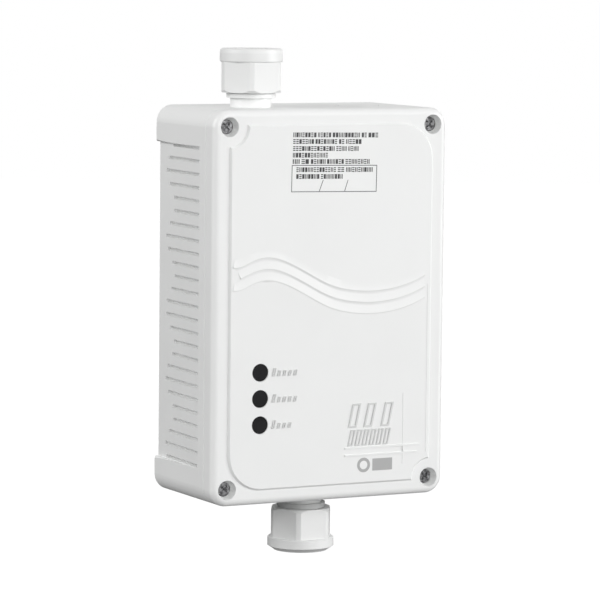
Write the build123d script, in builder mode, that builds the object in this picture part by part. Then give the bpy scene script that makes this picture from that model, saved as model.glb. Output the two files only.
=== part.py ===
"""Wall-mounted gas detector: a louvred plastic box with a screwed front cover,
a conduit entry on top and a sensing head in a second fitting underneath."""
import math
import os

from build123d import *

# Sizes are in millimetres. The origin is the middle of the face that lies on the wall.
# X points to the viewer's right, the front faces -Y and +Z is up.

# Housing
housing_width = 120
housing_height = 180
box_depth = 53
cover_depth = 9
corner_radius = 8
wall = 2.8
side_wall = 5.6
front_edge_radius = 3.2
back_edge_chamfer = 0.8
parting_chamfer = 0.35
cavity_corner_radius = 2.4
overrun = 1

# Cover screws and the posts that take them
screw_inset = 7.7
post_wall = 5.5
screw_shank_diameter = 4
screw_length = 16
screw_head_diameter = 7.8
screw_head_height = 2.6
screw_head_edge = 0.9
screw_sink = 3.6
well_diameter = 9
post_hole_diameter = 4.2
cover_hole_diameter = 4.6
cross_length = 4.4
cross_width = 0.9
cross_depth = 1.5

# Louvres on both sides
shoulder_top = 17
shoulder_bottom = 16.1
shoulder_edge_radius = 1.4
side_recess = 2.4
louvre_front = 15.4
louvre_pitch = 6.04
louvre_count = 25
louvre_height = 1.6
louvre_depth = 2.2
louvre_lead_out = 0.3
louvre_length = 33.6
wave_edge_amplitude = 5.1
wave_edge_period = 32.4
wave_edge_crest_z = -3

# Raised panel on the cover
panel_margin_x = 7.6
panel_margin_z = 6.7
panel_height = 1
panel_edge_chamfer = 0.9
panel_corner_radius = 17
panel_notch_radius = 8.8

# Waves on the panel, which rise gently to a crest and drop back, and straight lines in relief
wave_height = 0.4
wave_slope = 3.4
wave_drop = 0.8
wave_root = 0.4
wave_gap = 5.2
wave_rise = 16.9
wave_trough_z = 1.15
relief_height = 0.45
fine_line_width = 0.8

# Indicator windows
window_diameter = 8
window_clearance = 0.1
window_sink = 0.5
window_flange_diameter = 10
window_flange_height = 1.2
window_pitch = 12
window_from_left = 23.6
window_top_z = -29.2

# Cover seal
gasket_width = 1.4
gasket_thickness = 1.2
gasket_clearance = 0.1

# Entry fittings, measured from the outer face of the box
entry_from_wall = 34
conduit_entry_from_side = 32.1
sensor_entry_x = 0
entry_boss_diameter = 19
entry_boss_height = 3.7
fitting_gasket_thickness = 0.6
spigot_diameter = 16
spigot_inside = 10
spigot_clearance = 0.2
collar_diameter = 22.6
collar_height = 1.9
barrel_diameter = 21.4
barrel_end = 17
fitting_bore = 12.5
pocket_diameter = 17.4
pocket_floor = 9
nut_start = 6.7
nut_flats = 26.9
nut_corner_diameter = 29.8
nut_chamfer = 1.2
nut_thread_clearance = 0.15
lip_start = 20.6
lip_end = 26.8
lip_land = 4.2
lip_edge_chamfer = 0.5
conduit_lip_diameter = 28.9
conduit_lip_end_diameter = 28.4
sensor_lip_diameter = 31
sensor_lip_end_diameter = 26.2
mouth_shoulder = 19.6
mouth_diameter = 16.6
conduit_nut_turn = 5
sensor_nut_turn = 1
seal_bore = 12
ring_bore = 15
ring_diameter = 20.6
ring_slot_width = 1
ring_slot_count = 8
fit_clearance = 0.1
locknut_flats = 22
locknut_height = 5
knockout_diameter = 20.5
knockout_groove = 0.8
knockout_depth = 0.6

# Sensing head
element_diameter = 9.3
element_flange_diameter = 13.6
element_flange_height = 0.8
element_inset = 0.6
holder_bore = 9.6
mesh_thickness = 0.8
mesh_hole = 1.9
mesh_hole_pitch = 2.9
mesh_holes_across = 5
lead_width = 5
lead_thickness = 1.2
lead_bend_radius = 9

# Circuit board
board_side_clearance = 6.4
board_end_clearance = 25.2
board_thickness = 1.6
board_stand = 8
board_corner_radius = 2
board_post_diameter = 7
board_post_inset_x = 4
board_post_inset_z = 4
board_hole_diameter = 3.2
board_screw_diameter = 2.8
board_screw_length = 7
board_screw_head = 5.6
board_screw_head_height = 2
board_pilot_diameter = 3

# Lamps
led_diameter = 5
led_flange_diameter = 5.8
led_flange_height = 1
led_height = 8.6
led_tip_chamfer = 1.3
led_gap = 0.4
spacer_width = 7
spacer_bore = 3

# Parts on the board
terminal_pitch = 5.08
terminal_depth = 8
terminal_height = 10
terminal_screw_diameter = 3.4
terminal_screw_sink = 1
terminal_mouth_width = 3.2
terminal_mouth_height = 3.6
terminal_mouth_depth = 5
terminal_row_inset = 14
supply_ways = 3
relay_ways = 3
supply_terminals_from_left = 24
relay_terminals_from_right = 36
relay_width = 15.5
relay_length = 19
relay_height = 15
relay_from_right = 22
relay_below_terminals = 30
relay_edge = 0.8
chip_size = 10
chip_thickness = 1.4
chip_x = -4
chip_below_regulator = 24
chip_leg_count = 11
chip_leg_pitch = 0.8
chip_leg_width = 0.4
chip_leg_reach = 1
chip_leg_thickness = 0.3
capacitor_diameter = 10
capacitor_height = 16
capacitor_from_left = 18
capacitor_below_terminals = 26
capacitor_edge = 1
capacitor_crimp_width = 0.6
capacitor_crimp_height = 2
regulator_width = 10
regulator_body = 9
regulator_tab = 6
regulator_thickness = 4.4
regulator_tab_thickness = 1.3
regulator_hole = 3.6
regulator_x = -8
regulator_below_terminals = 18
socket_width = 11
socket_height_z = 7
socket_depth = 7
socket_inset = 9

# Wall fixing
wall_hole_diameter = 4.6
wall_hole_spacing_x = 80
wall_hole_spacing_z = 140

# Places worked out from the sizes above
half_width = housing_width / 2
half_height = housing_height / 2
front_face = box_depth + cover_depth
panel_face = front_face + panel_height
cavity_width = housing_width - 2 * side_wall
cavity_height = housing_height - 2 * wall
post_reach = screw_inset + post_wall
board_width = cavity_width - 2 * board_side_clearance
board_height = cavity_height - 2 * board_end_clearance
screw_spacing_x = housing_width - 2 * screw_inset
screw_spacing_z = housing_height - 2 * screw_inset
well_floor = front_face - screw_sink - screw_head_height
cover_inside = front_face - wall
window_x = window_from_left - half_width
window_places = [(window_x, window_top_z - window_pitch * i) for i in range(3)]
window_seat = cover_inside + window_flange_height
board_back = wall + board_stand
board_front = board_back + board_thickness
board_post_spacing_x = board_width - 2 * board_post_inset_x
board_post_spacing_z = board_height - 2 * board_post_inset_z
terminal_row_z = board_height / 2 - terminal_row_inset
supply_terminals_x = supply_terminals_from_left - board_width / 2
relay_terminals_x = board_width / 2 - relay_terminals_from_right
relay_x = board_width / 2 - relay_from_right
relay_z = terminal_row_z - relay_below_terminals
capacitor_x = capacitor_from_left - board_width / 2
capacitor_z = terminal_row_z - capacitor_below_terminals
regulator_z = terminal_row_z - regulator_below_terminals
chip_z = regulator_z - chip_below_regulator
socket_z = -board_height / 2 + socket_inset
led_top = cover_inside - led_gap
led_base = led_top - led_height
recess_top_z = half_height - shoulder_top
recess_bottom_z = -half_height + shoulder_bottom
louvre_front_y = louvre_front - front_face
panel_half_width = half_width - panel_margin_x
panel_half_height = half_height - panel_margin_z
collar_start = entry_boss_height + fitting_gasket_thickness
mesh_floor = mouth_shoulder - mesh_thickness
conduit_entry_x = conduit_entry_from_side - half_width

# The fittings stand on the top and bottom faces, with their own Z pointing out of the box.
conduit_entry = Plane(
    origin=(conduit_entry_x, -entry_from_wall, half_height), x_dir=(1, 0, 0), z_dir=(0, 0, 1)
)
sensor_entry = Plane(
    origin=(sensor_entry_x, -entry_from_wall, -half_height), x_dir=(1, 0, 0), z_dir=(0, 0, -1)
)


def front_plane(height):
    """Plane parallel to the wall, at a height above it, facing the viewer."""
    return Plane.XZ.offset(height)


def section_plane(entry):
    """Plane through the axis of a fitting: local X is the radius, local Y runs out of the box."""
    return Plane(origin=entry.origin, x_dir=entry.x_dir, z_dir=-entry.y_dir)


def fitting_axis(entry):
    return Axis(entry.origin, entry.z_dir)


def inner_outline(grow):
    """Outline of the inside of the housing, clear of the four screw posts."""
    with BuildSketch() as outline:
        Rectangle(cavity_width, cavity_height)
        with GridLocations(housing_width - post_reach, housing_height - post_reach, 2, 2):
            Rectangle(post_reach, post_reach, mode=Mode.SUBTRACT)
        fillet(outline.vertices(), cavity_corner_radius)
        if grow:
            offset(amount=grow, kind=Kind.ARC)
    return outline.sketch


# Tools for the sides. They run along the surface of a side, which falls back towards the wall.
recess_direction = (-side_recess, -louvre_front_y, 0)
recess_length = math.hypot(side_recess, louvre_front_y)
recess_start = front_plane(front_face - louvre_front)

# Louvres: undercut grooves from a straight front line to ends that form a wave
with BuildPart() as louvre_cutter:
    for i in range(louvre_count):
        top = recess_top_z - louvre_pitch * i
        bottom = top - louvre_height
        wave = math.cos(2 * math.pi * (top - wave_edge_crest_z) / wave_edge_period)
        with BuildSketch(recess_start):
            with BuildLine():
                Polyline(
                    (half_width + overrun, top),
                    (half_width, top),
                    (half_width - louvre_depth, bottom + louvre_lead_out),
                    (half_width, bottom),
                    (half_width + overrun, bottom),
                    close=True,
                )
            make_face()
        extrude(amount=louvre_length + wave_edge_amplitude * wave, dir=recess_direction)

# Rounded ends of the shoulders above and below the recess
with BuildPart() as shoulder_rounder:
    near = half_width + side_recess - shoulder_edge_radius
    far = half_width + side_recess + overrun
    for end, way in ((recess_top_z, 1), (recess_bottom_z, -1)):
        with BuildSketch(recess_start):
            with BuildLine():
                arc_end = end + way * shoulder_edge_radius
                TangentArc((near, end), (near + shoulder_edge_radius, arc_end), tangent=(1, 0))
                Polyline(
                    (near + shoulder_edge_radius, arc_end),
                    (far, arc_end),
                    (far, end - way * overrun),
                    (near, end - way * overrun),
                    (near, end),
                )
            make_face()
        extrude(amount=recess_length + overrun, dir=recess_direction)

# Rear box
with BuildPart() as rear_box:
    with BuildSketch(front_plane(0)):
        RectangleRounded(housing_width, housing_height, corner_radius)
    extrude(amount=box_depth)
    chamfer(rear_box.faces().sort_by(Axis.Y)[-1].edges(), back_edge_chamfer)
    chamfer(rear_box.faces().sort_by(Axis.Y)[0].edges(), parting_chamfer)

    # The sides fall back towards the wall between the corner shoulders
    with BuildSketch(Plane.XY.offset(recess_bottom_z)):
        with BuildLine():
            Polyline(
                (half_width, louvre_front_y),
                (half_width + overrun, louvre_front_y),
                (half_width + overrun, overrun),
                (half_width - side_recess * (1 - overrun / louvre_front_y), overrun),
                close=True,
            )
        make_face()
        mirror(about=Plane.YZ)
    extrude(amount=recess_top_z - recess_bottom_z, mode=Mode.SUBTRACT)
    for tool in (louvre_cutter.part, shoulder_rounder.part):
        add(tool, mode=Mode.SUBTRACT)
        add(tool.mirror(Plane.YZ), mode=Mode.SUBTRACT)

    # Inside, with the seat of the gasket round the rim
    with BuildSketch(front_plane(wall)):
        add(inner_outline(0))
    extrude(amount=box_depth, mode=Mode.SUBTRACT)
    with BuildSketch(front_plane(box_depth - gasket_thickness)):
        add(inner_outline(gasket_width))
    extrude(amount=gasket_thickness + overrun, mode=Mode.SUBTRACT)

    # Board posts and the holes for the wall screws
    with BuildSketch(front_plane(wall)):
        with GridLocations(board_post_spacing_x, board_post_spacing_z, 2, 2):
            Circle(board_post_diameter / 2)
    extrude(amount=board_stand)
    with BuildSketch(front_plane(-overrun)):
        with GridLocations(wall_hole_spacing_x, wall_hole_spacing_z, 2, 2):
            Circle(wall_hole_diameter / 2)
    extrude(amount=wall + 2 * overrun, mode=Mode.SUBTRACT)
    with BuildSketch(front_plane(board_back - board_screw_length)):
        with GridLocations(board_post_spacing_x, board_post_spacing_z, 2, 2):
            Circle(board_pilot_diameter / 2)
    extrude(amount=board_screw_length + overrun, mode=Mode.SUBTRACT)

    # Screw holes in the corner posts
    with BuildSketch(front_plane(well_floor - screw_length)):
        with GridLocations(screw_spacing_x, screw_spacing_z, 2, 2):
            Circle(post_hole_diameter / 2)
    extrude(amount=screw_length, mode=Mode.SUBTRACT)

    # Entry bosses with their holes
    for entry in (conduit_entry, sensor_entry):
        with BuildSketch(entry):
            Circle(entry_boss_diameter / 2)
        extrude(amount=entry_boss_height)
        with BuildSketch(entry.offset(-wall - overrun)):
            Circle(spigot_diameter / 2 + spigot_clearance)
        extrude(amount=wall + entry_boss_height + 2 * overrun, mode=Mode.SUBTRACT)

    # Round knock-out on top, the mirror image of the conduit entry
    with BuildSketch(Plane(origin=(-conduit_entry_x, -entry_from_wall, half_height))):
        Circle(knockout_diameter / 2)
        Circle(knockout_diameter / 2 - knockout_groove, mode=Mode.SUBTRACT)
    extrude(amount=-knockout_depth, mode=Mode.SUBTRACT)

# Front cover
# Places along the crest of a wave, as shares of the panel's half width and of the wave's rise
wave_shares = [
    (-0.966, 0.757),
    (-0.895, 0.765),
    (-0.80, 0.89),
    (-0.637, 1.0),
    (-0.40, 0.80),
    (-0.18, 0.444),
    (-0.017, 0.20),
    (0.20, 0.04),
    (0.365, 0.0),
    (0.545, 0.03),
    (0.765, 0.178),
    (0.925, 0.385),
]

# Straight lines in the lower right corner: level lines, as shares of the panel's half sizes
level_line_shares = [(0.141, 0.887, -0.796), (0.141, 0.863, -0.837)]
upright_line_shares = (0.727, -0.502, -0.901)
edge_line_shares = (0.962, 0.10, -0.84)

with BuildPart() as front_cover:
    with BuildSketch(front_plane(box_depth)):
        RectangleRounded(housing_width, housing_height, corner_radius)
    extrude(amount=cover_depth)
    fillet(front_cover.faces().sort_by(Axis.Y)[0].edges(), front_edge_radius)
    chamfer(front_cover.faces().sort_by(Axis.Y)[-1].edges(), parting_chamfer)
    with BuildSketch(front_plane(box_depth)):
        add(inner_outline(0))
    extrude(amount=cover_depth - wall, mode=Mode.SUBTRACT)

    # Raised panel: two wide round corners, two corners cut back round the screws
    with BuildSketch(front_plane(front_face)) as panel:
        Rectangle(2 * panel_half_width, 2 * panel_half_height)
        upper_right = panel.vertices().group_by(Axis.Z)[-1].sort_by(Axis.X)[-1]
        lower_left = panel.vertices().group_by(Axis.Z)[0].sort_by(Axis.X)[0]
        fillet([upper_right, lower_left], panel_corner_radius)
        with Locations(
            (-screw_spacing_x / 2, screw_spacing_z / 2), (screw_spacing_x / 2, -screw_spacing_z / 2)
        ):
            Circle(panel_notch_radius, mode=Mode.SUBTRACT)
    extrude(amount=panel_height)
    chamfer(front_cover.faces().sort_by(Axis.Y)[0].edges(), panel_edge_chamfer)

    # Three waves: a gentle slope above each crest line and a short drop below it
    for i in (-1, 0, 1):
        shares = wave_shares[1:] if i == 0 else wave_shares
        with BuildLine(front_plane(panel_face)) as crest:
            Spline(
                *[
                    (x * panel_half_width, wave_trough_z + z * wave_rise + i * wave_gap)
                    for x, z in shares
                ]
            )
        start = Plane(origin=crest.line @ 0, x_dir=(0, -1, 0), z_dir=crest.line % 0)
        with BuildSketch(start):
            with BuildLine():
                Polyline(
                    (-wave_root, -wave_slope),
                    (0, -wave_slope),
                    (wave_height, 0),
                    (0, wave_drop),
                    (-wave_root, wave_drop),
                    close=True,
                )
            make_face()
        sweep(path=crest.line)

    # Straight lines in relief
    with BuildSketch(front_plane(panel_face)):
        for left, right, level in level_line_shares:
            with Locations(((left + right) / 2 * panel_half_width, level * panel_half_height)):
                Rectangle((right - left) * panel_half_width, fine_line_width)
        for across, top, bottom in (upright_line_shares, edge_line_shares):
            with Locations((across * panel_half_width, (top + bottom) / 2 * panel_half_height)):
                Rectangle(fine_line_width, (top - bottom) * panel_half_height)
    extrude(amount=relief_height)

    # Screw wells
    with BuildSketch(front_plane(well_floor)):
        with GridLocations(screw_spacing_x, screw_spacing_z, 2, 2):
            Circle(well_diameter / 2)
    extrude(amount=cover_depth, mode=Mode.SUBTRACT)
    with BuildSketch(front_plane(box_depth - overrun)):
        with GridLocations(screw_spacing_x, screw_spacing_z, 2, 2):
            Circle(cover_hole_diameter / 2)
    extrude(amount=cover_depth, mode=Mode.SUBTRACT)

    # Window holes, stepped from inside
    with BuildSketch(front_plane(cover_inside)):
        with Locations(*window_places):
            Circle(window_diameter / 2 + window_clearance)
    extrude(amount=wall + panel_height + relief_height + overrun, mode=Mode.SUBTRACT)
    with BuildSketch(front_plane(cover_inside - overrun)):
        with Locations(*window_places):
            Circle(window_flange_diameter / 2 + window_clearance)
    extrude(amount=window_flange_height + overrun, mode=Mode.SUBTRACT)

# Cover seal, a flat ring in the rebate of the rim
with BuildPart() as cover_gasket:
    with BuildSketch(front_plane(box_depth - gasket_thickness)):
        add(inner_outline(gasket_width - gasket_clearance))
        add(inner_outline(0), mode=Mode.SUBTRACT)
    extrude(amount=gasket_thickness)

# Cover screws
with BuildPart() as cover_screws:
    with BuildSketch(front_plane(well_floor)):
        with GridLocations(screw_spacing_x, screw_spacing_z, 2, 2):
            Circle(screw_head_diameter / 2)
    extrude(amount=screw_head_height)
    chamfer(cover_screws.faces().sort_by(Axis.Y)[:4].edges(), screw_head_edge)
    with BuildSketch(front_plane(well_floor - screw_length + screw_shank_diameter / 2)):
        with GridLocations(screw_spacing_x, screw_spacing_z, 2, 2):
            Circle(screw_shank_diameter / 2)
    extrude(amount=screw_length - screw_shank_diameter / 2)
    with BuildSketch(front_plane(well_floor + screw_head_height - cross_depth)):
        with GridLocations(screw_spacing_x, screw_spacing_z, 2, 2):
            Rectangle(cross_length, cross_width, rotation=45)
            Rectangle(cross_width, cross_length, rotation=45)
    extrude(amount=cross_depth + overrun, mode=Mode.SUBTRACT)


def indicator_window(place):
    """Dark lens, dropped in from inside and stopped by its flange."""
    with BuildPart() as window:
        with BuildSketch(front_plane(cover_inside)):
            with Locations(place):
                Circle(window_flange_diameter / 2)
        extrude(amount=window_flange_height)
        with BuildSketch(front_plane(window_seat)):
            with Locations(place):
                Circle(window_diameter / 2)
        extrude(amount=panel_face - window_sink - window_seat)
    return window.part


def indicator_led(place):
    """Lamp that stands on its spacer behind a window."""
    with BuildPart() as led:
        with BuildSketch(front_plane(led_base)):
            with Locations(place):
                Circle(led_flange_diameter / 2)
        extrude(amount=led_flange_height)
        with BuildSketch(front_plane(led_base)):
            with Locations(place):
                Circle(led_diameter / 2)
        extrude(amount=led_height)
        chamfer(led.faces().sort_by(Axis.Y)[0].edges(), led_tip_chamfer)
    return led.part


with BuildPart() as led_spacers:
    with BuildSketch(front_plane(board_front)):
        with Locations(*window_places):
            Rectangle(spacer_width, spacer_width)
            Rectangle(spacer_bore, spacer_bore, mode=Mode.SUBTRACT)
    extrude(amount=led_base - board_front)

# Circuit board
with BuildPart() as circuit_board:
    with BuildSketch(front_plane(board_back)):
        RectangleRounded(board_width, board_height, board_corner_radius)
        with GridLocations(board_post_spacing_x, board_post_spacing_z, 2, 2):
            Circle(board_hole_diameter / 2, mode=Mode.SUBTRACT)
    extrude(amount=board_thickness)

with BuildPart() as board_screws:
    with BuildSketch(front_plane(board_front)):
        with GridLocations(board_post_spacing_x, board_post_spacing_z, 2, 2):
            Circle(board_screw_head / 2)
    extrude(amount=board_screw_head_height)
    with BuildSketch(front_plane(board_front - board_screw_length)):
        with GridLocations(board_post_spacing_x, board_post_spacing_z, 2, 2):
            Circle(board_screw_diameter / 2)
    extrude(amount=board_screw_length)


def terminal_block(ways, middle_x):
    """Row of screw clamps with their wire mouths facing up."""
    width = ways * terminal_pitch
    with BuildPart() as block:
        with BuildSketch(front_plane(board_front)):
            with Locations((middle_x, terminal_row_z)):
                Rectangle(width, terminal_depth)
        extrude(amount=terminal_height)
        with BuildSketch(front_plane(board_front + terminal_height - terminal_screw_sink)):
            with Locations((middle_x, terminal_row_z)):
                with GridLocations(terminal_pitch, 0, ways, 1):
                    Circle(terminal_screw_diameter / 2)
        extrude(amount=terminal_screw_sink + overrun, mode=Mode.SUBTRACT)
        mouth_level = board_front + terminal_mouth_height
        with BuildSketch(Plane.XY.offset(terminal_row_z + terminal_depth / 2)):
            with Locations((middle_x, -mouth_level)):
                with GridLocations(terminal_pitch, 0, ways, 1):
                    Rectangle(terminal_mouth_width, terminal_mouth_height)
        extrude(amount=-terminal_mouth_depth, mode=Mode.SUBTRACT)
    return block.part


with BuildPart() as alarm_relay:
    with BuildSketch(front_plane(board_front)):
        with Locations((relay_x, relay_z)):
            Rectangle(relay_width, relay_length)
    extrude(amount=relay_height)
    fillet(alarm_relay.faces().sort_by(Axis.Y)[0].edges(), relay_edge)

with BuildPart() as controller_chip:
    with BuildSketch(front_plane(board_front)):
        with Locations((chip_x, chip_z)):
            with GridLocations(0, chip_leg_pitch, 1, chip_leg_count):
                Rectangle(chip_size + 2 * chip_leg_reach, chip_leg_width)
            with GridLocations(chip_leg_pitch, 0, chip_leg_count, 1):
                Rectangle(chip_leg_width, chip_size + 2 * chip_leg_reach)
    extrude(amount=chip_leg_thickness)
    with BuildSketch(front_plane(board_front)):
        with Locations((chip_x, chip_z)):
            Rectangle(chip_size, chip_size)
    extrude(amount=chip_thickness)

capacitor_foot = Plane(
    origin=(capacitor_x, -board_front, capacitor_z), x_dir=(1, 0, 0), z_dir=(0, -1, 0)
)
with BuildPart() as supply_capacitor:
    with BuildSketch(section_plane(capacitor_foot)):
        with BuildLine():
            radius = capacitor_diameter / 2
            crimp = capacitor_crimp_height
            Polyline(
                (0, 0),
                (radius, 0),
                (radius, crimp),
                (radius - capacitor_crimp_width, crimp + capacitor_crimp_width),
                (radius, crimp + 2 * capacitor_crimp_width),
                (radius, capacitor_height - capacitor_edge),
                (radius - capacitor_edge, capacitor_height),
                (0, capacitor_height),
                close=True,
            )
        make_face()
    revolve(axis=fitting_axis(capacitor_foot))

with BuildPart() as voltage_regulator:
    with BuildSketch(front_plane(board_front)):
        with Locations((regulator_x, regulator_z)):
            Rectangle(regulator_width, regulator_body)
    extrude(amount=regulator_thickness)
    with BuildSketch(front_plane(board_front)):
        with Locations((regulator_x, regulator_z + (regulator_body + regulator_tab) / 2)):
            Rectangle(regulator_width, regulator_tab)
            Circle(regulator_hole / 2, mode=Mode.SUBTRACT)
    extrude(amount=regulator_tab_thickness)

with BuildPart() as sensor_socket:
    with BuildSketch(front_plane(board_front)):
        with Locations((sensor_entry_x, socket_z)):
            Rectangle(socket_width, socket_height_z)
    extrude(amount=socket_depth)


def fitting_body(entry):
    """Threaded spigot, collar and barrel of a fitting, bored through, with a pocket at its end."""
    with BuildPart() as body:
        with BuildSketch(section_plane(entry)):
            with BuildLine():
                Polyline(
                    (fitting_bore / 2, -spigot_inside),
                    (spigot_diameter / 2, -spigot_inside),
                    (spigot_diameter / 2, collar_start),
                    (collar_diameter / 2, collar_start),
                    (collar_diameter / 2, collar_start + collar_height),
                    (barrel_diameter / 2, collar_start + collar_height),
                    (barrel_diameter / 2, barrel_end),
                    (pocket_diameter / 2, barrel_end),
                    (pocket_diameter / 2, pocket_floor),
                    (fitting_bore / 2, pocket_floor),
                    close=True,
                )
            make_face()
        revolve(axis=fitting_axis(entry))
    return body.part


def fitting_nut(entry, lip_diameter, lip_end_diameter, turn):
    """Six-sided clamping nut with rounded corners and a round lip that narrows to its mouth."""
    with BuildPart() as nut:
        with BuildSketch(entry.offset(nut_start)):
            RegularPolygon(nut_flats / 2, 6, major_radius=False, rotation=turn)
        extrude(amount=lip_start - nut_start)
        with BuildSketch(section_plane(entry)):
            with BuildLine():
                edge = nut_corner_diameter / 2
                Polyline(
                    (0, nut_start),
                    (edge - nut_chamfer, nut_start),
                    (edge, nut_start + nut_chamfer),
                    (edge, lip_start),
                    (0, lip_start),
                    close=True,
                )
            make_face()
        revolve(axis=fitting_axis(entry), mode=Mode.INTERSECT)
        with BuildSketch(section_plane(entry)):
            with BuildLine():
                Polyline(
                    (0, lip_start),
                    (lip_diameter / 2 - lip_edge_chamfer, lip_start),
                    (lip_diameter / 2, lip_start + lip_edge_chamfer),
                    (lip_diameter / 2, lip_start + lip_land),
                    (lip_end_diameter / 2, lip_end - lip_edge_chamfer),
                    (lip_end_diameter / 2 - lip_edge_chamfer, lip_end),
                    (0, lip_end),
                    close=True,
                )
            make_face()
        revolve(axis=fitting_axis(entry))
        with BuildSketch(entry.offset(nut_start)):
            Circle(barrel_diameter / 2 + nut_thread_clearance)
        extrude(amount=mouth_shoulder - nut_start, mode=Mode.SUBTRACT)
        with BuildSketch(entry.offset(nut_start)):
            Circle(mouth_diameter / 2)
        extrude(amount=lip_end, mode=Mode.SUBTRACT)
    return nut.part


def fitting_ring(entry, inner, outer, start, height):
    """Plain ring round a fitting's axis."""
    with BuildPart() as ring:
        with BuildSketch(entry.offset(start)):
            Circle(outer / 2)
            Circle(inner / 2, mode=Mode.SUBTRACT)
        extrude(amount=height)
    return ring.part


def fitting_locknut(entry):
    """Thin six-sided nut that pulls the fitting tight from inside the box."""
    with BuildPart() as locknut:
        with BuildSketch(entry.offset(-wall)):
            RegularPolygon(locknut_flats / 2, 6, major_radius=False)
            Circle(spigot_diameter / 2 + fit_clearance, mode=Mode.SUBTRACT)
        extrude(amount=-locknut_height)
    return locknut.part


with BuildPart() as conduit_grip_ring:
    with BuildSketch(conduit_entry.offset(barrel_end)):
        Circle(ring_diameter / 2)
        Circle(ring_bore / 2, mode=Mode.SUBTRACT)
        with PolarLocations((ring_diameter + ring_bore) / 4, ring_slot_count):
            Rectangle((ring_diameter - ring_bore) / 4, ring_slot_width, mode=Mode.SUBTRACT)
    extrude(amount=mouth_shoulder - barrel_end)

with BuildPart() as sensor_holder:
    with BuildSketch(sensor_entry.offset(pocket_floor)):
        Circle(pocket_diameter / 2 - fit_clearance)
        Circle(holder_bore / 2, mode=Mode.SUBTRACT)
    extrude(amount=barrel_end - pocket_floor)
    with BuildSketch(sensor_entry.offset(barrel_end)):
        Circle(ring_diameter / 2)
        Circle(holder_bore / 2, mode=Mode.SUBTRACT)
    extrude(amount=mesh_floor - barrel_end)
    with BuildSketch(sensor_entry.offset(pocket_floor)):
        Circle(element_flange_diameter / 2 + fit_clearance)
    extrude(amount=element_flange_height, mode=Mode.SUBTRACT)

with BuildPart() as sensing_element:
    with BuildSketch(sensor_entry.offset(pocket_floor)):
        Circle(element_flange_diameter / 2)
    extrude(amount=element_flange_height)
    with BuildSketch(sensor_entry.offset(pocket_floor)):
        Circle(element_diameter / 2)
    extrude(amount=mesh_floor - element_inset - pocket_floor)

with BuildPart() as sensor_mesh:
    with BuildSketch(sensor_entry.offset(mesh_floor)):
        Circle(ring_diameter / 2)
        with GridLocations(mesh_hole_pitch, mesh_hole_pitch, mesh_holes_across, mesh_holes_across):
            Rectangle(mesh_hole, mesh_hole, mode=Mode.SUBTRACT)
    extrude(amount=mesh_thickness)

# Ribbon lead from the sensing element up to its socket on the board
socket_face = board_front + socket_depth
with BuildPart() as sensor_lead:
    with BuildLine():
        FilletPolyline(
            (sensor_entry_x, -entry_from_wall, -half_height - pocket_floor),
            (sensor_entry_x, -entry_from_wall, socket_z),
            (sensor_entry_x, -socket_face, socket_z),
            radius=lead_bend_radius,
        )
    with BuildSketch(Plane.XY.offset(-half_height - pocket_floor)):
        with Locations((sensor_entry_x, -entry_from_wall)):
            Rectangle(lead_width, lead_thickness)
    sweep()

pieces = {
    "rear_box": rear_box.part,
    "front_cover": front_cover.part,
    "cover_gasket": cover_gasket.part,
    "cover_screws": cover_screws.part,
    "power_window": indicator_window(window_places[0]),
    "alarm_window": indicator_window(window_places[1]),
    "fault_window": indicator_window(window_places[2]),
    "power_led": indicator_led(window_places[0]),
    "alarm_led": indicator_led(window_places[1]),
    "fault_led": indicator_led(window_places[2]),
    "led_spacers": led_spacers.part,
    "circuit_board": circuit_board.part,
    "board_screws": board_screws.part,
    "supply_terminals": terminal_block(supply_ways, supply_terminals_x),
    "relay_terminals": terminal_block(relay_ways, relay_terminals_x),
    "alarm_relay": alarm_relay.part,
    "controller_chip": controller_chip.part,
    "supply_capacitor": supply_capacitor.part,
    "voltage_regulator": voltage_regulator.part,
    "sensor_socket": sensor_socket.part,
    "sensor_lead": sensor_lead.part,
    "conduit_body": fitting_body(conduit_entry),
    "conduit_nut": fitting_nut(
        conduit_entry, conduit_lip_diameter, conduit_lip_end_diameter, conduit_nut_turn
    ),
    "conduit_seal": fitting_ring(
        conduit_entry,
        seal_bore,
        pocket_diameter - 2 * fit_clearance,
        pocket_floor,
        barrel_end - pocket_floor,
    ),
    "conduit_grip_ring": conduit_grip_ring.part,
    "conduit_gasket": fitting_ring(
        conduit_entry,
        spigot_diameter + 2 * spigot_clearance,
        entry_boss_diameter,
        entry_boss_height,
        fitting_gasket_thickness,
    ),
    "conduit_locknut": fitting_locknut(conduit_entry),
    "sensor_body": fitting_body(sensor_entry),
    "sensor_nut": fitting_nut(
        sensor_entry, sensor_lip_diameter, sensor_lip_end_diameter, sensor_nut_turn
    ),
    "sensor_holder": sensor_holder.part,
    "sensing_element": sensing_element.part,
    "sensor_mesh": sensor_mesh.part,
    "sensor_gasket": fitting_ring(
        sensor_entry,
        spigot_diameter + 2 * spigot_clearance,
        entry_boss_diameter,
        entry_boss_height,
        fitting_gasket_thickness,
    ),
    "sensor_locknut": fitting_locknut(sensor_entry),
}

os.makedirs("parts", exist_ok=True)
for name, piece in pieces.items():
    piece.label = name
    export_step(piece, f"parts/{name}.step")
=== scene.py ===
"""Looks of a wall-mounted gas sensor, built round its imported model.

The scene is in metres, with +Z up and the front to -Y. Measures of marks and of the cover are in
millimetres from the middle of the housing, x to the right and z up.
"""
import math
import random

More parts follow.
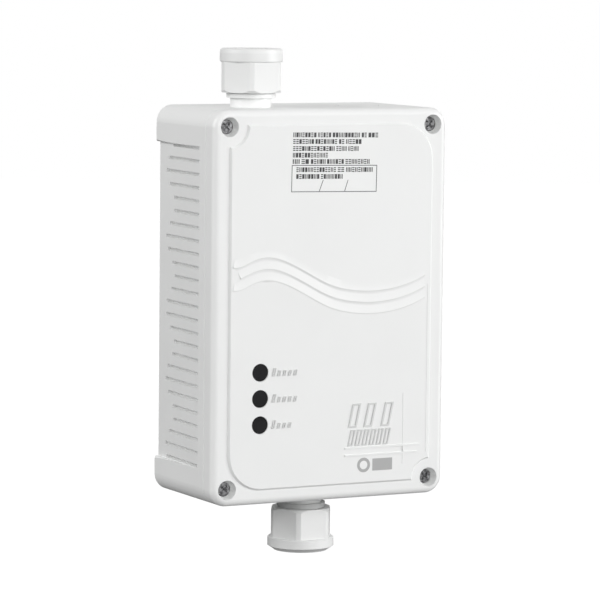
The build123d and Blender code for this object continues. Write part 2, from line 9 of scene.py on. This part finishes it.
import bmesh
import bpy
from mathutils import Euler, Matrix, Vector


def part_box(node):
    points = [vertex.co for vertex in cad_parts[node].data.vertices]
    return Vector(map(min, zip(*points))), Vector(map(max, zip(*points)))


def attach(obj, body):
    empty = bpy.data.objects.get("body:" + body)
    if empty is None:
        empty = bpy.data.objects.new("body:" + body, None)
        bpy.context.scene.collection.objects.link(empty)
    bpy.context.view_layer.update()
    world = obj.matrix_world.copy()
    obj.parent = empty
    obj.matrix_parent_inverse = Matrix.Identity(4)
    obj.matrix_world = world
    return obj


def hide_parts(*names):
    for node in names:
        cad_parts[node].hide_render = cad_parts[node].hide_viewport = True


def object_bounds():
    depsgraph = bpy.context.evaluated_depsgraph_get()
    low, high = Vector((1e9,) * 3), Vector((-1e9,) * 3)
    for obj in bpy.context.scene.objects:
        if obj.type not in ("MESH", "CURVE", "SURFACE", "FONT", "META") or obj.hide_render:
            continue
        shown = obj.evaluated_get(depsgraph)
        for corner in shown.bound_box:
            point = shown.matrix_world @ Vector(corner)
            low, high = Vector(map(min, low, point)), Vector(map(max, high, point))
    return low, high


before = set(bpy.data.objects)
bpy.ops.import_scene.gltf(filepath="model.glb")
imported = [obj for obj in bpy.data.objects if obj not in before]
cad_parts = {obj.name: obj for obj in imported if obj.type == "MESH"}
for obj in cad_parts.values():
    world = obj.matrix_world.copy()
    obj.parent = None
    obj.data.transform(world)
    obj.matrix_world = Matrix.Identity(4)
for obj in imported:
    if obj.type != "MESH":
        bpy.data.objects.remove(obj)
cad_low, cad_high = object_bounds()

MM = 0.001  # a millimetre in metres

# The camera of the photograph
camera_place = (-0.75066, -1.47586, 0.15875)
camera_yaw_deg = 27.456
camera_pitch_deg = 5.578
camera_roll_deg = 0.585
camera_lens_mm = 210.89
sensor_width_mm = 36
camera_clip_far = 20


def new_object(name, data):
    """An object in the scene, on a mesh, lamp or camera."""
    thing = bpy.data.objects.new(name, data)
    bpy.context.scene.collection.objects.link(thing)
    return thing


def make_camera():
    data = bpy.data.cameras.new("camera")
    data.lens = camera_lens_mm
    data.sensor_width = sensor_width_mm
    data.clip_end = camera_clip_far
    camera = new_object("camera", data)
    camera.location = camera_place
    turn = Euler((0, 0, math.radians(-camera_yaw_deg))).to_matrix()
    turn = turn @ Euler((math.radians(90 - camera_pitch_deg), 0, 0)).to_matrix()
    turn = turn @ Euler((0, 0, math.radians(camera_roll_deg))).to_matrix()
    camera.rotation_euler = turn.to_euler()
    bpy.context.scene.camera = camera


make_camera()

# The panel's face lies behind the straight lines in relief on it, the foremost part of the cover
line_height = 0.45 * MM
cover_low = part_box("front_cover")[0]
panel_y = cover_low.y + line_height

# Shader values that all materials share
ramp_start = 0.3
ramp_end = 0.7
cloud_scale = 22
cloud_detail = 3
gloss_scale = 60
gloss_detail = 4
gloss_spread = 0.04
grain_detail = 2
grain_strength = 0.25
# Size and detail of the metal's darker patches: dulling, and on the screws also painted glints and
# painted shade
dull_and_glint_scale = 900
dull_and_glint_detail = 3
streak_detail = 4
streak_spread = 0.08
scratch_detail = 3
scratch_strength = 0.2
scratch_height = 0.00003


class Nodes:
    """Small helper that adds shader nodes and links them."""

    def __init__(self, name):
        self.material = bpy.data.materials.new(name)
        self.material.use_nodes = True
        self.tree = self.material.node_tree
        self.shader = self.tree.nodes["Principled BSDF"]
        self.coords = self.tree.nodes.new("ShaderNodeTexCoord").outputs["Object"]

    def add(self, kind, **inputs):
        node = self.tree.nodes.new(kind)
        for key, value in inputs.items():
            node.inputs[key.replace("_", " ")].default_value = value
        return node

    def link(self, out, into):
        self.tree.links.new(out, into)

    def noise(self, scale, detail):
        node = self.add("ShaderNodeTexNoise", Scale=scale, Detail=detail)
        self.link(self.coords, node.inputs["Vector"])
        return node.outputs["Fac"]

    def ramp(self, value, low, high):
        node = self.add("ShaderNodeValToRGB")
        stops = node.color_ramp.elements
        for stop, position, color in ((stops[0], ramp_start, low), (stops[1], ramp_end, high)):
            stop.position = position
            stop.color = color
        self.link(value, node.inputs["Fac"])
        return node.outputs["Color"]

    def bump(self, height, strength, distance):
        node = self.add("ShaderNodeBump", Strength=strength, Distance=distance)
        self.link(height, node.inputs["Height"])
        self.link(node.outputs["Normal"], self.shader.inputs["Normal"])


def grey(level):
    return (level, level, level, 1)


def moulded_plastic(name, color, spread, roughness, grain_scale, grain_height):
    """Moulded plastic: faint clouding of colour and gloss over a fine spark-eroded grain."""
    n = Nodes(name)
    low = [max(c - spread, 0) for c in color] + [1]
    high = [min(c + spread, 1) for c in color] + [1]
    cloud = n.noise(cloud_scale, cloud_detail)
    n.link(n.ramp(cloud, low, high), n.shader.inputs["Base Color"])
    gloss = n.noise(gloss_scale, gloss_detail)
    rough = n.ramp(gloss, grey(roughness - gloss_spread), grey(roughness + gloss_spread))
    n.link(rough, n.shader.inputs["Roughness"])
    n.bump(n.noise(grain_scale, grain_detail), grain_strength, grain_height)
    return n.material


def metal(name, color, dull_and_glint_share, roughness, streak_scale):
    """Metal with darker patches in its colour and fine streaks in its gloss; the patches are
    dulling, and on the screws also painted glints and painted shade.
    """
    n = Nodes(name)
    n.shader.inputs["Metallic"].default_value = 1
    cloud = n.noise(dull_and_glint_scale, dull_and_glint_detail)
    low = [c * dull_and_glint_share for c in color] + [1]
    n.link(n.ramp(cloud, low, list(color) + [1]), n.shader.inputs["Base Color"])
    streaks = n.noise(streak_scale, streak_detail)
    rough = n.ramp(streaks, grey(roughness - streak_spread), grey(roughness + streak_spread))
    n.link(rough, n.shader.inputs["Roughness"])
    n.bump(n.noise(streak_scale, scratch_detail), scratch_strength, scratch_height)
    return n.material


housing_white = moulded_plastic("housing_white", (0.83, 0.835, 0.83), 0.006, 0.36, 2600, 0.00003)
fitting_white = moulded_plastic("fitting_white", (0.80, 0.805, 0.80), 0.008, 0.42, 2200, 0.00004)
# The sensor body's darker grey is painted shade, standing in for the shadow under the housing.
collar_painted_shade = moulded_plastic("collar_painted_shade", (0.52, 0.525, 0.52), 0.008, 0.42, 2200, 0.00004)
window_black = moulded_plastic("window_black", (0.012, 0.012, 0.013), 0.003, 0.2, 3000, 0.00001)
seal_rubber = moulded_plastic("seal_rubber", (0.02, 0.02, 0.02), 0.006, 0.7, 1800, 0.00005)
washer_grey = moulded_plastic("washer_grey", (0.76, 0.77, 0.76), 0.01, 0.6, 1800, 0.00004)
board_green = moulded_plastic("board_green", (0.012, 0.09, 0.035), 0.008, 0.35, 900, 0.00003)
terminal_green = moulded_plastic("terminal_green", (0.03, 0.22, 0.07), 0.01, 0.45, 1500, 0.00003)
relay_blue = moulded_plastic("relay_blue", (0.02, 0.05, 0.2), 0.008, 0.3, 1500, 0.00002)
black_plastic = moulded_plastic("black_plastic", (0.02, 0.02, 0.021), 0.006, 0.5, 1500, 0.00003)
ivory_plastic = moulded_plastic("ivory_plastic", (0.68, 0.66, 0.58), 0.015, 0.45, 1500, 0.00003)
lead_grey = moulded_plastic("lead_grey", (0.06, 0.06, 0.065), 0.01, 0.55, 1800, 0.00003)
lamp_green = moulded_plastic("lamp_green", (0.05, 0.4, 0.08), 0.01, 0.2, 1500, 0.00001)
lamp_red = moulded_plastic("lamp_red", (0.5, 0.02, 0.015), 0.01, 0.2, 1500, 0.00001)
lamp_yellow = moulded_plastic("lamp_yellow", (0.6, 0.4, 0.03), 0.015, 0.2, 1500, 0.00001)
print_ink = moulded_plastic("print_ink", (0.035, 0.035, 0.037), 0.01, 0.5, 1200, 0.00001)
# The raised marks are the housing's own plastic; their grey is painted shade standing in for the
# shading of their sides.
relief_painted_shade = moulded_plastic("relief_painted_shade", (0.63, 0.635, 0.63), 0.01, 0.4, 2600, 0.00003)
mark_grey = moulded_plastic("mark_grey", (0.40, 0.40, 0.40), 0.02, 0.5, 1200, 0.00001)
# The screws' dark colour and strong dark and light patches are painted shade in their wells and
# painted glints on their heads.
screw_steel = metal("screw_steel", (0.5, 0.5, 0.51), 0.14, 0.3, 2400)
can_aluminium = metal("can_aluminium", (0.75, 0.75, 0.76), 0.8, 0.35, 1200)

NODE_MATERIALS = {
    housing_white: ["rear_box", "front_cover"],
    fitting_white: [
        "conduit_body", "conduit_nut", "conduit_locknut", "sensor_nut", "sensor_locknut",
    ],
    collar_painted_shade: ["sensor_body"],
    window_black: ["power_window", "alarm_window", "fault_window"],
    seal_rubber: ["cover_gasket", "conduit_seal"],
    washer_grey: ["conduit_gasket", "sensor_gasket"],
    board_green: ["circuit_board"],
    terminal_green: ["supply_terminals", "relay_terminals"],
    relay_blue: ["alarm_relay"],
    black_plastic: ["led_spacers", "controller_chip", "voltage_regulator", "sensor_holder"],
    ivory_plastic: ["sensor_socket", "conduit_grip_ring"],
    lead_grey: ["sensor_lead"],
    lamp_green: ["power_led"],
    lamp_red: ["alarm_led"],
    lamp_yellow: ["fault_led"],
    screw_steel: ["cover_screws", "board_screws", "sensing_element", "sensor_mesh"],
    can_aluminium: ["supply_capacitor"],
}


def dress_nodes():
    for material, names in NODE_MATERIALS.items():
        for name in names:
            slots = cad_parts[name].data.materials
            slots.clear()
            slots.append(material)


dress_nodes()


def make_mesh(name, build):
    """A mesh made by a function that fills a bmesh."""
    bm = bmesh.new()
    build(bm)
    bmesh.ops.recalc_face_normals(bm, faces=bm.faces)
    mesh = bpy.data.meshes.new(name)
    bm.to_mesh(mesh)
    bm.free()
    return mesh


def mesh_piece(name, build, material):
    """A piece made by a function that fills a bmesh. It rides on the housing."""
    piece = new_object(name, make_mesh(name, build))
    piece.data.materials.append(material)
    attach(piece, "root")
    return piece


def bar(x, z, width, height, slant=0.0):
    """Corners of a bar from its lower left corner, leaning right by slant over its height."""
    lean = slant * height
    return [(x, z), (x + width, z), (x + width + lean, z + height), (x + lean, z + height)]


def circle(centre, radius, steps):
    """Points of a full circle."""
    angles = [2 * math.pi * i / steps for i in range(steps)]
    return [(centre[0] + radius * math.cos(t), centre[1] + radius * math.sin(t)) for t in angles]


def on_front(outline, height):
    """Points of a flat outline in millimetres, placed at a height in metres above the panel."""
    return [(x * MM, panel_y - height, z * MM) for x, z in outline]


def raise_outline(bm, outline, height, sink):
    """A closed prism on the panel, sunk a little into it."""
    foot = [bm.verts.new(point) for point in on_front(outline, -sink)]
    top = [bm.verts.new(point) for point in on_front(outline, height)]
    bm.faces.new(foot)
    bm.faces.new(top)
    for i in range(len(foot)):
        j = (i + 1) % len(foot)
        bm.faces.new((foot[i], foot[j], top[j], top[i]))


def ring_shell(bm, loops):
    """A closed ring through loops of as many points each, the last joined to the first."""
    rings = [[bm.verts.new(point) for point in loop] for loop in loops]
    for near, far in zip(rings, rings[1:] + rings[:1]):
        for i in range(len(near)):
            j = (i + 1) % len(near)
            bm.faces.new((near[i], near[j], far[j], far[i]))


def drawn_in(outline, distance):
    """An outline whose points have moved towards its middle."""
    middle = Vector([sum(place) for place in zip(*outline)]) / len(outline)
    return [tuple(Vector(p) + (middle - Vector(p)).normalized() * distance) for p in outline]


def raise_frame(bm, outer, inner, height, sink, draft=0.0):
    """A closed frame on the panel between two outlines, narrower at its top by the draft."""
    ring_shell(bm, [
        on_front(outer, -sink),
        on_front(drawn_in(outer, draft), height),
        on_front(drawn_in(inner, -draft), height),
        on_front(inner, -sink),
    ])


# The cover. Its raised panel has wide round corners at upper right and lower left, and square ones
# at the other two, cut back round the screws. The solid has the wide rounds at the wrong two.
# So its mesh is copied, and closed shapes are added to the copy and cut from it.
panel_corner = Vector((52.4, 83.3))
panel_height = 1.0
panel_bevel = 0.9
round_radius = 17.0
screw_place = Vector((52.3, 82.3))
notch_radius = 8.85
# What the shapes need to cut cleanly: how far they reach past the panel, beside it, above it and
# below its foot, and how far they stay off the faces that they would otherwise share with it
reach_beside = 6.0
reach_above = 0.5
reach_below = 0.3
hair = 0.005
# The L that fills a cut-back corner: where it starts and ends, from the panel's corner
fill_run = (6.4, 18.4)
# Upright lines on the panel, by lower left and upper right corner, and the height they are cut to
upright_lines = [
    ((37.5, -65.8), (38.7, -41.4)),
    ((37.5, -75.5), (38.7, -70.2)),
    ((49.8, -70.4), (51.0, 8.7)),
]
upright_height = 0.15
# Sloped walls of the screw wells: radius and depth below the cover's face at the mouth and at the
# screw, and how far they reach into the wall behind them
well_mouth = (4.5, 0.05)
well_foot = (3.3, 3.7)
well_grip = 0.05
arc_steps = 24
circle_steps = 96
sharp_edge_deg = 33
weld_distance = 1e-7


def arc(centre, radius, start_deg, end_deg):
    """Points of an arc, evenly spaced."""
    turn = (end_deg - start_deg) / arc_steps
    angles = [math.radians(start_deg + turn * i) for i in range(arc_steps + 1)]
    return [(centre[0] + radius * math.cos(t), centre[1] + radius * math.sin(t)) for t in angles]


def loft(bm, levels, side):
    """A closed shell through outlines at rising heights above the cover's face, in millimetres.

    Side 1 makes it as written, at the panel's upper right, and -1 turns it to the lower left.
    """
    rings = [
        [
            bm.verts.new((side * x * MM, panel_y + (panel_height - height) * MM, side * z * MM))
            for x, z in outline
        ]
        for height, outline in levels
    ]
    bm.faces.new(rings[0])
    bm.faces.new(rings[-1])
    for low, high in zip(rings, rings[1:]):
        for i in range(len(low)):
            j = (i + 1) % len(low)
            bm.faces.new((low[i], low[j], high[j], high[i]))


def build_round_cutter(bm):
    """What lies outside the two wide round corners."""
    middle = panel_corner - Vector((round_radius, round_radius))
    far = panel_corner + Vector((reach_beside, reach_beside))
    heights = [
        (hair, round_radius),
        (panel_height - panel_bevel, round_radius),
        (panel_height + reach_above, round_radius - panel_bevel - reach_above),
    ]
    for side in (1, -1):
        levels = [
            (h, arc(middle, r, 0, 90) + [(middle.x, far.y), tuple(far), (far.x, middle.y)])
            for h, r in heights
        ]
        loft(bm, levels, side)


def build_corner_fill(bm):
    """Square corners: an L along the panel's level and upright edges, round the screw well."""
    heights = [
        (-reach_below, hair),
        (panel_height - panel_bevel, hair),
        (panel_height - hair, panel_bevel),
    ]
    near, long = fill_run
    for side in (1, -1):
        levels = []
        for h, inset in heights:
            edge = panel_corner - Vector((inset, inset))
            start = panel_corner - Vector((near, near))
            end = panel_corner - Vector((long, long))
            outline = [
                (-start.x, edge.y),
                (-end.x, edge.y),
                (-end.x, end.y),
                (-edge.x, end.y),
                (-edge.x, start.y),
                (-start.x, start.y),
            ]
            levels.append((h, outline))
        loft(bm, levels, side)


def build_notch_cutter(bm):
    """Cut-backs round the screws, sloped like the panel's other edges."""
    centre = (-screw_place.x, screw_place.y)
    heights = [
        (hair, notch_radius),
        (panel_height - panel_bevel, notch_radius),
        (panel_height + reach_above, notch_radius + panel_bevel + reach_above),
    ]
    for side in (1, -1):
        loft(bm, [(h, circle(centre, r, circle_steps)) for h, r in heights], side)


def build_line_cutter(bm):
    """What stands too high of the panel's upright lines."""
    for (left, low), (right, top) in upright_lines:
        outline = bar(left, low, right - left, top - low)
        levels = [(panel_height + rise, outline) for rise in (upright_height, reach_above)]
        loft(bm, levels, 1)


def build_well_slopes(bm):
    """A ring in each screw well, whose inner wall slopes from the mouth to the screw's head."""
    outer = well_mouth[0] + well_grip
    section = [(outer, well_mouth[1]), well_mouth, well_foot, (outer, well_foot[1])]
    for side_x in (1, -1):
        for side_z in (1, -1):
            centre = (side_x * screw_place.x, side_z * screw_place.y)
            ring_shell(bm, [
                on_front(circle(centre, radius, circle_steps), (-panel_height - depth) * MM)
                for radius, depth in section
            ])


def copy_cover(bm):
    bm.from_mesh(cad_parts["front_cover"].data)
    bmesh.ops.remove_doubles(bm, verts=bm.verts, dist=weld_distance)


def mark_edges(bm):
    """Rounds are shaded smooth, and edges that turn by more stay sharp."""
    for face in bm.faces:
        face.smooth = True
    for edge in bm.edges:
        edge.smooth = edge.calc_face_angle(0) < math.radians(sharp_edge_deg)


# Shapes that change the cover, in the order of use
cover_changes = [
    ("corner_fill", build_corner_fill, "UNION"),
    ("notch_cutter", build_notch_cutter, "DIFFERENCE"),
    ("round_cutter", build_round_cutter, "DIFFERENCE"),
    ("line_cutter", build_line_cutter, "DIFFERENCE"),
    ("well_slopes", build_well_slopes, "UNION"),
]


def changed_mesh(piece):
    """A piece's mesh after its changes. The shapes that made them are removed."""
    shapes = []
    for name, build, operation in cover_changes:
        shape = new_object(name, make_mesh(name, build))
        change = piece.modifiers.new(name, "BOOLEAN")
        change.operation = operation
        change.solver = "MANIFOLD"
        change.object = shape
        shapes.append(shape)
    graph = bpy.context.evaluated_depsgraph_get()
    mesh = bpy.data.meshes.new_from_object(piece.evaluated_get(graph))
    piece.modifiers.clear()
    for shape in shapes:
        bpy.data.objects.remove(shape)
    return mesh


def make_cover():
    cover = mesh_piece("cover_shell", copy_cover, housing_white)
    bm = bmesh.new()
    bm.from_mesh(changed_mesh(cover))
    bmesh.ops.triangulate(bm, faces=bm.faces)
    mark_edges(bm)
    bm.to_mesh(cover.data)
    bm.free()
    shading = cover.modifiers.new("even_shading", "WEIGHTED_NORMAL")
    shading.keep_sharp = True
    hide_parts("front_cover")


make_cover()


# The printed label: rows of small blocks in place of words, the last two in a ruled box.
# Each row has its middle height, and where its words start and end.
label_rows = [
    (78.5, [(-21.0, -9.2), (-8.4, -1.7), (-0.8, 13.2), (14.2, 16.8), (17.7, 22.7)]),
    (75.5, [(-21.0, -10.4), (-9.6, 1.5), (2.5, 5.2), (6.1, 14.1)]),
    (72.3, [(-21.0, 0.3), (1.2, 6.5), (7.4, 12.7)]),
    (69.3, [(-21.0, -3.1)]),
    (66.4, [(-21.0, -17.5), (-16.5, -12.8), (-11.7, -4.2), (-3.4, 5.2), (6.1, 18.6)]),
    (62.7, [(-19.0, 1.3), (2.2, 5.5), (6.5, 20.3)]),
    (59.6, [(-19.0, -7.2), (-6.4, 4.8)]),
]
label_box = (-21.4, 52.5, 22.6, 64.8)
label_strokes = [((-7.2, 52.9), (-5.3, 58.0)), ((5.9, 52.9), (7.5, 58.0))]
label_turn_deg = -0.9
block_pitch = 1.48
block_gap = 0.34
block_height = 2.15
upright_share = 0.36
level_share = 0.22
block_kinds = 3
block_seed = 7
rule_width = 0.32
ink_height = 0.03 * MM
ink_sink = 0.02 * MM


def turned(points, pivot, degrees):
    """Points turned about a pivot, in the plane of the front."""
    c, s = math.cos(math.radians(degrees)), math.sin(math.radians(degrees))
    return [
        (
            pivot[0] + (x - pivot[0]) * c - (z - pivot[1]) * s,
            pivot[1] + (x - pivot[0]) * s + (z - pivot[1]) * c,
        )
        for x, z in points
    ]


def block_marks(x, z, width, kind):
    """One place of a printed row: a block, two upright bars or three level bars."""
    if kind == 0:
        return [bar(x, z, width, block_height)]
    if kind == 1:
        thick = width * upright_share
        return [bar(x, z, thick, block_height), bar(x + width - thick, z, thick, block_height)]
    thick = block_height * level_share
    steps = [0, (block_height - thick) / 2, block_height - thick]
    return [bar(x, z + step, width, thick) for step in steps]


def label_outlines():
    outlines = []
    kinds = random.Random(block_seed)
    for middle, words in label_rows:
        for start, end in words:
            count = max(1, round((end - start) / block_pitch))
            pitch = (end - start + block_gap) / count
            for i in range(count):
                x = start + pitch * i
                z = middle - block_height / 2
                outlines += block_marks(x, z, pitch - block_gap, kinds.randrange(block_kinds))
    for (x0, z0), (x1, z1) in label_strokes:
        outlines.append(bar(x0, z0, rule_width, z1 - z0, (x1 - x0) / (z1 - z0)))
    return outlines


def build_label(bm):
    left, bottom, right, top = label_box
    for outline in label_outlines():
        raise_outline(bm, turned(outline, (left, top), label_turn_deg), ink_height, ink_sink)
    box, hole = (
        bar(left + step, bottom + step, right - left - 2 * step, top - bottom - 2 * step)
        for step in (0, rule_width)
    )
    outer, inner = (turned(outline, (left, top), label_turn_deg) for outline in (box, hole))
    raise_frame(bm, outer, inner, ink_height, ink_sink)


mesh_piece("label_print", build_label, print_ink)


# Raised marks: leaning open frames where the front has words in relief, greyer than the housing as
# painted shade on their sides
relief_height = 0.4 * MM
relief_sink = 0.1 * MM
relief_draft = 0.12
relief_slant = 0.22
# Middle height and right end of the row beside each window
window_marks = [(-29.2, -15.4), (-41.2, -14.7), (-53.2, -18.2)]
window_mark_left = -30.6
window_mark_pitch = 2.75
window_mark_width = 1.5
window_mark_tall = 4.0
window_mark_low = 2.7
window_mark_stroke = 0.55
large_mark_left = (8.9, 17.0, 26.0)
large_mark_width = 4.4
large_mark_bottom = -56.9
large_mark_height = 11.2
large_mark_stroke = 0.95
small_mark_left = 8.8
small_mark_right = 31.0
small_mark_count = 6
small_mark_gap = 1.1
small_mark_bottom = -65.4
small_mark_height = 7.6
small_mark_stroke = 0.75


def open_frame(bm, x, z, width, height, stroke):
    """A leaning frame, open in the middle."""
    outer = bar(x, z, width, height, relief_slant)
    inner = bar(
        x + stroke + relief_slant * stroke,
        z + stroke,
        width - 2 * stroke,
        height - 2 * stroke,
        relief_slant,
    )
    raise_frame(bm, outer, inner, relief_height, relief_sink, relief_draft)


def build_relief(bm):
    for middle, right in window_marks:
        bottom = middle - window_mark_tall / 2
        for i in range(int((right - window_mark_left) / window_mark_pitch)):
            x = window_mark_left + window_mark_pitch * i
            height = window_mark_tall if i == 0 else window_mark_low
            open_frame(bm, x, bottom, window_mark_width, height, window_mark_stroke)
    for x in large_mark_left:
        open_frame(
            bm, x, large_mark_bottom, large_mark_width, large_mark_height, large_mark_stroke
        )
    pitch = (small_mark_right - small_mark_left) / small_mark_count
    for i in range(small_mark_count):
        x = small_mark_left + pitch * i
        open_frame(
            bm, x, small_mark_bottom, pitch - small_mark_gap, small_mark_height, small_mark_stroke
        )


mesh_piece("relief_marks", build_relief, relief_painted_shade)


# Two plain grey shapes low on the front: a ring and a plate
ring_middle = (17.4, -74.5)
ring_outer = 3.4
ring_inner = 2.0
ring_steps = 48
plate_corner = (22.0, -77.4)
plate_size = (10.4, 5.6)


def build_grey_marks(bm):
    outer, inner = (circle(ring_middle, radius, ring_steps) for radius in (ring_outer, ring_inner))
    raise_frame(bm, outer, inner, ink_height, ink_sink)
    raise_outline(bm, bar(*plate_corner, *plate_size), ink_height, ink_sink)


mesh_piece("grey_marks", build_grey_marks, mark_grey)


# Floor, lamps and surroundings. The floor's lift is a glow that only the camera sees.
floor_drop = 1.0
floor_reach = 30.0
floor_white = 0.3
floor_lift = 0.98
world_light = 0.23
lamp_aim = (0, -0.03, 0)
# name, place, width and power of each soft lamp
lamps = [
    ("high_key", (0.75, -2.4, 1.35), 1.4, 12),
    ("low_key", (0.3, -2.7, -0.15), 1.4, 7),
    ("front_key", (-0.8, -2.6, 0.6), 1.4, 21.5),
    ("right_side", (2.2, -1.6, 0.5), 1.4, 41.5),
    ("left_fill", (-2.3, 0.2, 1.1), 1.8, 38),
]


def make_floor():
    mesh = bpy.data.meshes.new("floor")
    r, z = floor_reach, cad_low[2] - floor_drop
    mesh.from_pydata([(-r, -r, z), (r, -r, z), (r, r, z), (-r, r, z)], [], [(0, 1, 2, 3)])
    floor = new_object("floor", mesh)
    material = bpy.data.materials.new("floor_white")
    material.use_nodes = True
    tree = material.node_tree
    tree.nodes.clear()
    diffuse = tree.nodes.new("ShaderNodeBsdfDiffuse")
    diffuse.inputs["Color"].default_value = grey(floor_white)
    glow = tree.nodes.new("ShaderNodeEmission")
    path = tree.nodes.new("ShaderNodeLightPath")
    lift = tree.nodes.new("ShaderNodeMath")
    lift.operation = "MULTIPLY"
    lift.inputs[1].default_value = floor_lift
    add = tree.nodes.new("ShaderNodeAddShader")
    out = tree.nodes.new("ShaderNodeOutputMaterial")
    tree.links.new(path.outputs["Is Camera Ray"], lift.inputs[0])
    tree.links.new(lift.outputs[0], glow.inputs["Strength"])
    tree.links.new(diffuse.outputs[0], add.inputs[0])
    tree.links.new(glow.outputs[0], add.inputs[1])
    tree.links.new(add.outputs[0], out.inputs["Surface"])
    mesh.materials.append(material)


def make_world():
    """White to the camera and in reflections, and a plain even light on the object."""
    world = bpy.data.worlds.new("studio")
    bpy.context.scene.world = world
    world.use_nodes = True
    tree = world.node_tree
    sky = tree.nodes["Background"]
    path = tree.nodes.new("ShaderNodeLightPath")
    seen = path.outputs["Is Camera Ray"]
    for name in ("Is Glossy Ray", "Is Transmission Ray"):
        either = tree.nodes.new("ShaderNodeMath")
        either.operation = "MAXIMUM"
        tree.links.new(seen, either.inputs[0])
        tree.links.new(path.outputs[name], either.inputs[1])
        seen = either.outputs[0]
    strength = tree.nodes.new("ShaderNodeMapRange")
    strength.inputs["To Min"].default_value = world_light
    strength.inputs["To Max"].default_value = 1.0
    tree.links.new(seen, strength.inputs["Value"])
    tree.links.new(strength.outputs["Result"], sky.inputs["Strength"])
    sky.inputs["Color"].default_value = (1, 1, 1, 1)


def make_lamps():
    for name, place, size, power in lamps:
        data = bpy.data.lights.new(name, "AREA")
        data.shape = "DISK"
        data.size = size
        data.energy = power
        lamp = new_object(name, data)
        lamp.location = place
        aim = Vector(lamp_aim) - Vector(place)
        lamp.rotation_euler = aim.to_track_quat("-Z", "Y").to_euler()


make_floor()
make_world()
make_lamps()

bpy.context.scene.view_settings.view_transform = "Standard"
